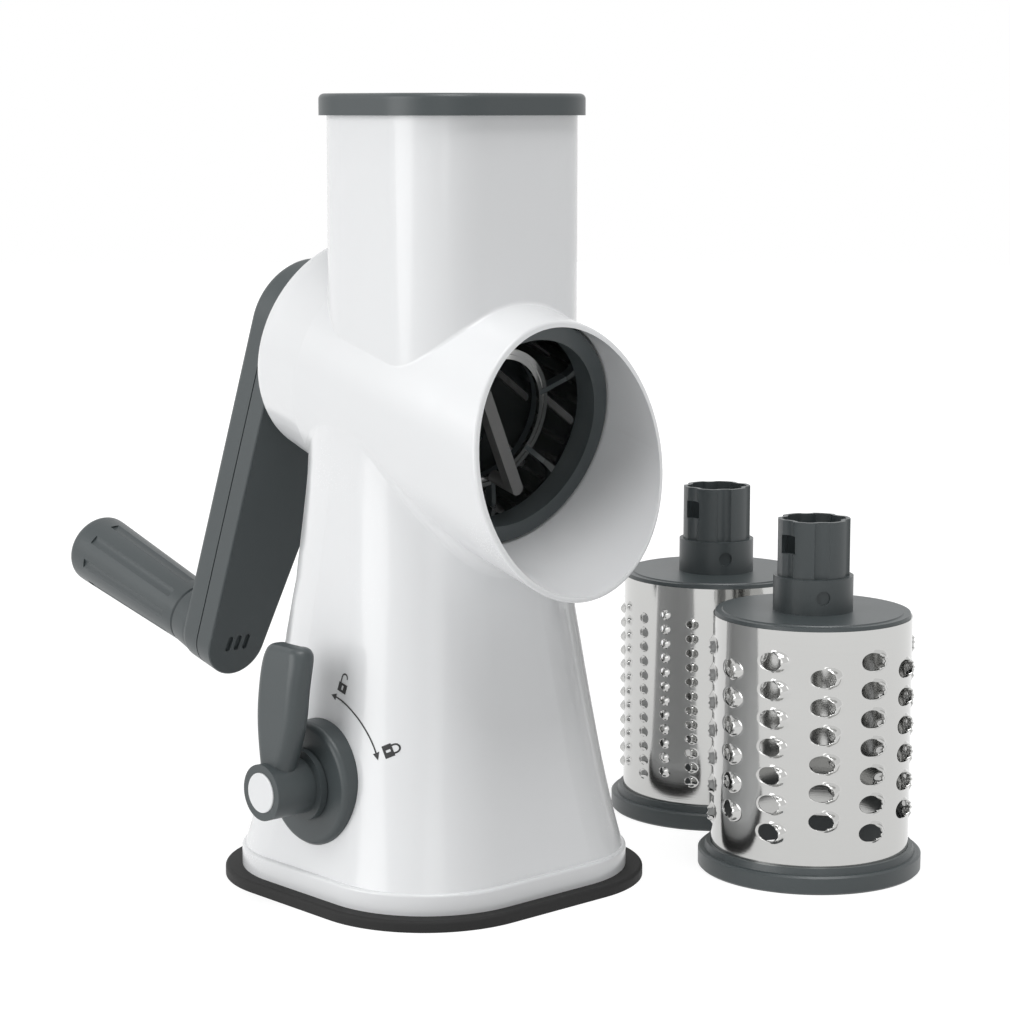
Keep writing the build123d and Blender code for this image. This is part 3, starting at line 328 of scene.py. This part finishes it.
class Rule:
    """A Geometry Nodes tree with named inputs, and one method that adds a node to it."""

    def __init__(self, name, inputs):
        self.tree = bpy.data.node_groups.new(name, "GeometryNodeTree")
        face = self.tree.interface
        face.new_socket(name="Geometry", in_out="INPUT", socket_type="NodeSocketGeometry")
        for title, kind in inputs:
            face.new_socket(name=title, in_out="INPUT", socket_type=kind)
        face.new_socket(name="Geometry", in_out="OUTPUT", socket_type="NodeSocketGeometry")
        self.start = self.tree.nodes.new("NodeGroupInput")
        self.end = self.tree.nodes.new("NodeGroupOutput")

    def given(self, title):
        return Signal(self.tree, self.start.outputs[title])

    def add(self, kind, settings=None, sockets=None, output=0):
        made = self.tree.nodes.new(kind)
        for title, value in (settings or {}).items():
            setattr(made, title, value)
        for title, value in (sockets or {}).items():
            several = value if isinstance(value, list) else [value]
            for one in several:
                feed(self.tree, made.inputs[title], one)
        return Signal(self.tree, made.outputs[output])

    def vector(self, x=0.0, y=0.0, z=0.0):
        return self.add("ShaderNodeCombineXYZ", {}, {"X": x, "Y": y, "Z": z})


# %% The strip and the bend
def rolled_sheet_rule():
    rule = Rule("rolled_sheet", SIZES)
    rows, pitch, middle = rule.given("Rows"), rule.given("Pitch"), rule.given("Middle")
    low, high, width = rule.given("Low"), rule.given("High"), rule.given("Tile Width")
    first = middle - (rows - 1) * pitch * 0.5
    tile = rule.add("GeometryNodeObjectInfo", {}, {"Object": rule.given("Tile")}, "Geometry")
    line = rule.add("GeometryNodeMeshLine", {}, {
        "Count": rows, "Start Location": rule.vector(y=first), "Offset": rule.vector(y=pitch)})
    teeth = rule.add("GeometryNodeInstanceOnPoints", {}, {"Points": line, "Instance": tile})
    ends = []
    for start, stop in ((low, first - pitch * 0.5), (first + (rows - 1) * pitch + pitch * 0.5, high)):
        plain = rule.add("GeometryNodeMeshGrid", {}, {
            "Size X": width, "Size Y": stop - start, "Vertices X": rule.given("Across") + 1, "Vertices Y": 2})
        ends.append(rule.add("GeometryNodeTransform", {}, {
            "Geometry": plain, "Translation": rule.vector(y=(start + stop) * 0.5)}))
    strip = rule.add("GeometryNodeJoinGeometry", {}, {"Geometry": [teeth] + ends})
    strip = rule.add("GeometryNodeRealizeInstances", {}, {"Geometry": strip})
    side = rule.add("GeometryNodeMeshLine", {}, {
        "Count": rule.given("Columns"), "Offset": rule.vector(x=width * 2.0)})
    flat = rule.add("GeometryNodeInstanceOnPoints", {}, {"Points": side, "Instance": strip})
    flat = rule.add("GeometryNodeRealizeInstances", {}, {"Geometry": flat})
    return rule, flat


def bend_round(rule, flat):
    """Wraps the flat sheet about z: x becomes an angle, y a height and z a distance outwards."""
    here = rule.add("GeometryNodeInputPosition")
    parts = rule.tree.nodes.new("ShaderNodeSeparateXYZ")
    rule.tree.links.new(here.socket, parts.inputs[0])
    x, y, z = (Signal(rule.tree, socket) for socket in parts.outputs)
    turn = x.combine("DIVIDE", x, rule.given("Radius")) + rule.given("Phase")
    reach = rule.given("Radius") + z
    bent = rule.vector(reach * turn.combine("COSINE", turn, 0.0), reach * turn.combine("SINE", turn, 0.0), y)
    made = rule.add("GeometryNodeSetPosition", {}, {"Geometry": flat, "Position": bent})
    made = rule.add("GeometryNodeSetShadeSmooth", {}, {"Geometry": made})
    made = rule.add("GeometryNodeRealizeInstances", {}, {"Geometry": made})
    made = rule.add("GeometryNodeSetMaterial", {}, {"Geometry": made, "Material": rule.given("Finish")})
    feed(rule.tree, rule.end.inputs[0], made)
    return rule


ROLLED = bend_round(*rolled_sheet_rule())
print("rule with", len(ROLLED.tree.nodes), "nodes")


# %% Using the rule
def grown(rule, name, values):
    """Evaluates the rule on an empty mesh, with each input set by its socket's identifier."""
    carrier = bpy.data.objects.new(name, bpy.data.meshes.new(name))
    bpy.context.scene.collection.objects.link(carrier)
    modifier = carrier.modifiers.new("rule", "NODES")
    modifier.node_group = rule.tree
    for item in rule.tree.interface.items_tree:
        if item.in_out == "INPUT" and item.name in values:
            modifier[item.identifier] = values[item.name]
    view = bpy.context.evaluated_depsgraph_get()
    mesh = bpy.data.meshes.new_from_object(carrier.evaluated_get(view))
    bpy.data.objects.remove(carrier)
    return mesh


def as_piece(name, meshes, finish):
    """Joins meshes into one piece at the origin."""
    joined = bmesh.new()
    for mesh in meshes:
        joined.from_mesh(mesh)
    bmesh.ops.remove_doubles(joined, verts=joined.verts, dist=SAME_POINT)
    result = bpy.data.meshes.new(name)
    joined.to_mesh(result)
    joined.free()
    result.materials.clear()
    result.materials.append(finish)
    for polygon in result.polygons:
        polygon.use_smooth = True
        polygon.material_index = 0
    piece = bpy.data.objects.new(name, result)
    bpy.context.scene.collection.objects.link(piece)
    return piece


# %% [markdown]
# ## The two grating drums
# Each spare drum stands on its ring with its spigot up, so its own axis points down at the table.
# The coarse drum has twelve strips, of seven and of six teeth in turn. The fine drum has twenty of
# twelve. The sheet gets its thickness from a Solidify modifier that works inwards. Face corners that
# still lie on the tube are then given the tube's exact normal, as polished steel shows every kink.

# %% Drum sizes
SHELL_RADIUS = 36.6
SHELL_LOW, SHELL_HIGH = -46.5, 47.1
SHELL_MIDDLE = -3.35
RING_FACE = 48.8
COARSE = dict(half_x=4.4, half_y=3.3, zone_x=8.2, zone_y=4.8,
              width=2 * pi * SHELL_RADIUS / 12, height=10.5, across=10, along=8, rings=7, lift=2.1,
              slope=0.55, ribs=0.16, rib_pitch=2.0)
FINE = dict(half_x=1.35, half_y=1.45, zone_x=4.2, zone_y=2.6,
            width=2 * pi * SHELL_RADIUS / 20, height=5.7, across=6, along=4, rings=4, lift=1.5,
            slope=0.9, ribs=0.0, rib_pitch=2.0)


def standing(x, y, turn):
    """The matrix that stands a drum on its ring at a spot on the table."""
    way = Vector((cos(radians(turn)), sin(radians(turn)), 0))
    down = Vector((0, 0, -1))
    side = down.cross(way)
    matrix = Matrix((way, side, down)).transposed().to_4x4()
    matrix.translation = (x * MM, y * MM, RING_FACE * MM)
    return matrix


# %% True normals on the plain sheet
WALL = 0.7
ON_TUBE = 0.03       # a point this near to the tube counts as on it
END_FACE = 0.7       # a face that looks along the drum by more than this is the sheet's end
OUTWARD = 0.5        # a face that looks along the radius by more than this belongs to the wall
CALM = 0.97          # a corner whose own normal is this near to the tube's isn't on a tooth


def loop_normal(mesh, corner, face):
    """The normal of one face at one corner: the tube's own wherever the face lies on the tube."""
    vertex = mesh.vertices[corner]
    way = Vector((vertex.co.x, vertex.co.y, 0))
    reach = way.length / MM
    way.normalize()
    if abs(face.normal.z) > END_FACE:
        return face.normal
    for radius, sign in ((SHELL_RADIUS, 1), (SHELL_RADIUS - WALL, -1)):
        reaches = [mesh.vertices[one].co.xy.length / MM for one in face.vertices]
        flat = all(abs(one - radius) < ON_TUBE for one in reaches)
        calm = vertex.normal.dot(way) * sign > CALM
        faces_out = face.normal.dot(way) * sign > OUTWARD
        if abs(reach - radius) < ON_TUBE and faces_out and (flat or calm):
            return way * sign
    return vertex.normal


def round_normals(mesh):
    """Gives every face corner its normal, so that mirror images stay calm up to the sheet's ends."""
    normals = []
    for face in mesh.polygons:
        normals += [loop_normal(mesh, corner, face).copy() for corner in face.vertices]
    mesh.normals_split_custom_set(normals)


# %% Drum shells
def drum_shell(name, tooth, families, place):
    """One steel shell from its families of strips."""
    tile = tooth_tile(name + "_tile", tooth)
    meshes = []
    for index, (columns, rows, phase, shift) in enumerate(families):
        meshes.append(grown(ROLLED, f"{name}_{index}", {
            "Columns": columns, "Rows": rows, "Pitch": tooth["height"] * MM,
            "Middle": (SHELL_MIDDLE + shift) * MM, "Low": SHELL_LOW * MM, "High": SHELL_HIGH * MM,
            "Tile Width": tooth["width"] * MM, "Across": tooth["across"],
            "Radius": SHELL_RADIUS * MM, "Phase": radians(phase), "Tile": tile, "Finish": STEEL}))
    piece = as_piece(name, meshes, STEEL)
    bpy.data.objects.remove(tile)
    wall = piece.modifiers.new("wall", "SOLIDIFY")
    wall.thickness = WALL * MM
    wall.offset = -1.0
    view = bpy.context.evaluated_depsgraph_get()
    walled = bpy.data.meshes.new_from_object(piece.evaluated_get(view))
    bpy.data.objects.remove(piece)
    round_normals(walled)
    walled.transform(place)
    walled.name = name
    piece = bpy.data.objects.new(name, walled)
    bpy.context.scene.collection.objects.link(piece)
    print(name, len(walled.polygons), "faces")
    return piece


# Each family: strips, teeth in a strip, first angle in degrees, shift along the drum.
COARSE_FAMILIES = ((6, 6, 22.0, 0.0), (6, 7, 52.0, 0.0))
FINE_FAMILIES = ((10, 12, 1.6, -0.425), (10, 12, 19.6, 2.425))
coarse = drum_shell("coarse_teeth", COARSE, COARSE_FAMILIES, standing(109.1, -88.1, 189.5))
fine = drum_shell("fine_teeth", FINE, FINE_FAMILIES, standing(145.8, -4.8, 191.1))
for piece, body in ((coarse, "coarse_drum"), (fine, "fine_drum")):
    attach(piece, body)
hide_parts("coarse_shell")
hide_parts("fine_shell")

# %% [markdown]
# ## Marks beside the lever
# A two-headed arrow shows the lever's swing, with an open and a closed padlock at its ends. They are
# pad-printed, so each is a flat drawing laid on the stand. The drawing is made in polar steps about
# the lever's shaft. Every point is then sent along the shaft's direction onto the moulding, and
# lifted by a tenth of a millimetre.

# %% Printing ink
def print_ink():
    finish = Finish("print_ink", {"Specular IOR Level": 0.4})
    edge = finish.noise(900.0, 3.0)
    finish.drive("Base Color", finish.tint((0.010, 0.010, 0.011), (0.03, 0.03, 0.031), edge))
    finish.drive("Roughness", edge * 0.15 + 0.38)
    return finish.material


INK = print_ink()
LEVER_HEIGHT = 43.3
OUTSIDE = -0.12      # where the rays onto the wall start
PRINT_LIFT = 0.0001


# %% Drawing in strips
def arc_strip(radius, width, start, stop, steps, middle=(0.0, 0.0)):
    """Quads along an arc, in the print's flat (across, up) millimetres."""
    quads = []
    for step in range(steps):
        corners = []
        for share, reach in ((step, -1), (step + 1, -1), (step + 1, 1), (step, 1)):
            turn = radians(start + (stop - start) * share / steps)
            distance = radius + reach * width / 2
            corners.append((middle[0] + distance * cos(turn), middle[1] + distance * sin(turn)))
        quads.append(corners)
    return quads


def bar_grid(left, low, right, high, steps=3):
    """A rectangle as small quads, so that it can follow a curved wall."""
    quads = []
    for column in range(steps):
        for row in range(steps):
            x0 = left + (right - left) * column / steps
            x1 = left + (right - left) * (column + 1) / steps
            y0 = low + (high - low) * row / steps
            y1 = low + (high - low) * (row + 1) / steps
            quads.append([(x0, y0), (x1, y0), (x1, y1), (x0, y1)])
    return quads


def moved(quads, turn, shift):
    """Turns a drawing and moves its origin."""
    c, s = cos(radians(turn)), sin(radians(turn))
    return [[(shift[0] + c * x - s * y, shift[1] + s * x + c * y) for x, y in quad] for quad in quads]


def arrow_head(radius, turn, way):
    """A small triangle whose tip points along the arc."""
    tip = radians(turn + way * 5.0)
    base = radians(turn)
    outer = ((radius + 1.25) * cos(base), (radius + 1.25) * sin(base))
    inner = ((radius - 1.25) * cos(base), (radius - 1.25) * sin(base))
    return [[outer, inner, (radius * cos(tip), radius * sin(tip))]]


def padlock(is_open):
    """A padlock sign: its case with a keyhole left bare, and its shackle."""
    quads = bar_grid(-2.3, -2.4, -0.45, 0.9) + bar_grid(0.45, -2.4, 2.3, 0.9)
    quads += bar_grid(-0.45, -2.4, 0.45, -1.5, 1) + bar_grid(-0.45, 0.1, 0.45, 0.9, 1)
    lift = 1.2 if is_open else 0.0
    quads += arc_strip(1.45, 0.6, 0, 180, 8, (0.0, 1.7 + lift))
    quads += bar_grid(-1.75, 0.9, -1.15, 1.7 + lift, 1)
    if not is_open:
        quads += bar_grid(1.15, 0.9, 1.75, 1.7, 1)
    return quads


# %% Laying the print on the stand
stand_mesh = nodes["body_shell"].data
wall_tree = BVHTree.FromPolygons(
    [vertex.co.copy() for vertex in stand_mesh.vertices],
    [tuple(polygon.vertices) for polygon in stand_mesh.polygons])


def printed(name, quads):
    """A thin print on the stand's -X wall, from flat quads about the lever's shaft."""
    sheet = bmesh.new()
    for quad in quads:
        corners = []
        for across, up in quad:
            start = Vector((OUTSIDE, -across * MM, (LEVER_HEIGHT + up) * MM))
            point, normal, _, _ = wall_tree.ray_cast(start, Vector((1, 0, 0)))
            if normal.x > 0:
                normal = -normal
            corners.append(sheet.verts.new(point + normal * PRINT_LIFT))
        sheet.faces.new(corners)
    bmesh.ops.remove_doubles(sheet, verts=sheet.verts, dist=1e-6)
    bmesh.ops.recalc_face_normals(sheet, faces=sheet.faces)
    for face in sheet.faces:
        if face.normal.x > 0:
            face.normal_flip()
    mesh = bpy.data.meshes.new(name)
    sheet.to_mesh(mesh)
    sheet.free()
    mesh.materials.append(INK)
    piece = bpy.data.objects.new(name, mesh)
    bpy.context.scene.collection.objects.link(piece)
    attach(piece, "stand")
    print(name, len(mesh.polygons), "faces")


def sign_place(angle):
    """The middle of a sign, outside the arrow."""
    return SIGN_REACH * cos(radians(angle)), SIGN_REACH * sin(radians(angle))


ARC = 31.6
ARROW_LOW, ARROW_HIGH = 27.5, 78.5
SIGN_REACH = 36.6
heads = arrow_head(ARC, ARROW_HIGH, 1) + arrow_head(ARC, ARROW_LOW, -1)
printed("lever_arrow", arc_strip(ARC, 0.55, ARROW_LOW, ARROW_HIGH, 26) + heads)
printed("open_lock_sign", moved(padlock(True), -14, sign_place(75)))
printed("closed_lock_sign", moved(padlock(False), -62, sign_place(26)))

# %% [markdown]
# ## Floor, light and air
# The photograph is a studio shot on pure white. The floor is a pale sheet that still takes the
# object's shadow: part of its colour is plain light that only the eye and mirrors see, and that part
# grows away from the middle until the far edge is pure white. A broad lamp stands to the left, as
# the stand's left side is the bright one, another hangs above, and a weak one in front lights the
# inside of the mouth.

# %% Floor
def pale_floor():
    material = bpy.data.materials.new("studio_floor")
    material.use_nodes = True
    tree = material.node_tree
    shader = tree.nodes["Principled BSDF"]
    shader.inputs["Base Color"].default_value = (0.8, 0.8, 0.8, 1)
    shader.inputs["Roughness"].default_value = 0.9
    ray = tree.nodes.new("ShaderNodeLightPath")
    seen = Signal(tree, ray.outputs["Is Camera Ray"])
    seen = seen.combine("MAXIMUM", seen, Signal(tree, ray.outputs["Is Glossy Ray"]))
    seen = seen.combine("MAXIMUM", seen, Signal(tree, ray.outputs["Is Transmission Ray"]))
    glow = tree.nodes.new("ShaderNodeEmission")
    glow.inputs["Color"].default_value = (1, 1, 1, 1)
    glow.inputs["Strength"].default_value = 1.26
    place = tree.nodes.new("ShaderNodeTexCoord")
    near = tree.nodes.new("ShaderNodeTexGradient")
    near.gradient_type = "SPHERICAL"
    scaled = tree.nodes.new("ShaderNodeMapping")
    scaled.inputs["Scale"].default_value = (0.8, 0.8, 0.8)
    tree.links.new(place.outputs["Object"], scaled.inputs["Vector"])
    tree.links.new(scaled.outputs[0], near.inputs[0])
    mix = tree.nodes.new("ShaderNodeMixShader")
    feed(tree, mix.inputs[0], seen * (1.0 - Signal(tree, near.outputs["Fac"]) * 0.35))
    tree.links.new(shader.outputs[0], mix.inputs[1])
    tree.links.new(glow.outputs[0], mix.inputs[2])
    tree.links.new(mix.outputs[0], tree.nodes["Material Output"].inputs["Surface"])
    return material


def floor_disc(radius):
    """A round sheet under the object, whose far edge melts into the white air."""
    disc = bmesh.new()
    bmesh.ops.create_circle(disc, cap_ends=True, segments=96, radius=radius)
    mesh = bpy.data.meshes.new("studio_floor")
    disc.to_mesh(mesh)
    disc.free()
    mesh.materials.append(pale_floor())
    floor = bpy.data.objects.new("studio_floor", mesh)
    bpy.context.scene.collection.objects.link(floor)
    return floor


floor_disc(4.0)


# %% Air and lamps
def white_air(strength):
    world = bpy.data.worlds.new("white_air")
    bpy.context.scene.world = world
    world.use_nodes = True
    tree = world.node_tree
    sky = tree.nodes["Background"]
    ray = tree.nodes.new("ShaderNodeLightPath")
    seen = Signal(tree, ray.outputs["Is Camera Ray"])
    seen = seen.combine("MAXIMUM", seen, Signal(tree, ray.outputs["Is Glossy Ray"]))
    seen = seen.combine("MAXIMUM", seen, Signal(tree, ray.outputs["Is Transmission Ray"]))
    sky.inputs["Color"].default_value = (1, 1, 1, 1)
    feed(tree, sky.inputs["Strength"], seen * (1.0 - strength) + strength)


def soft_lamp(name, place, target, size, power):
    lamp = bpy.data.lights.new(name, "AREA")
    lamp.shape = "DISK"
    lamp.size = size
    lamp.energy = power
    holder = bpy.data.objects.new(name, lamp)
    bpy.context.scene.collection.objects.link(holder)
    holder.location = place
    holder.rotation_euler = (Vector(target) - Vector(place)).to_track_quat("-Z", "Y").to_euler()


white_air(0.35)
soft_lamp("left_lamp", (-1.7, 0.5, 0.7), (0.0, 0.0, 0.12), 1.6, 17.4)
soft_lamp("top_lamp", (0.0, -0.5, 1.8), (0.0, -0.05, 0.1), 1.0, 15.0)
soft_lamp("front_lamp", (-1.0, -1.5, 0.5), (0.0, 0.0, 0.16), 0.7, 1.4)
bpy.context.scene.view_settings.view_transform = "Standard"

# %% [markdown]
# ## The camera
# The photograph was taken from the stand's mouth side and a little above, with a long lens from
# about a metre away. The place and the direction come from matching the outlines of the pad, lid,
# barrel and drums.

# %% Camera
camera_data = bpy.data.cameras.new("photo_camera")
camera_data.lens = 95.65
camera_data.sensor_width = 36.0
camera_data.clip_end = 20.0
camera = bpy.data.objects.new("photo_camera", camera_data)
bpy.context.scene.collection.objects.link(camera)
right = Vector((0.7389, -0.6738, 0.0)).normalized()
forward = Vector((0.6666, 0.7310, -0.1459)).normalized()
up = right.cross(forward)
turn = Matrix((right, up, -forward)).transposed()
camera.matrix_world = Matrix.Translation((-0.6315, -0.7316, 0.2795)) @ turn.to_4x4()
bpy.context.scene.camera = camera
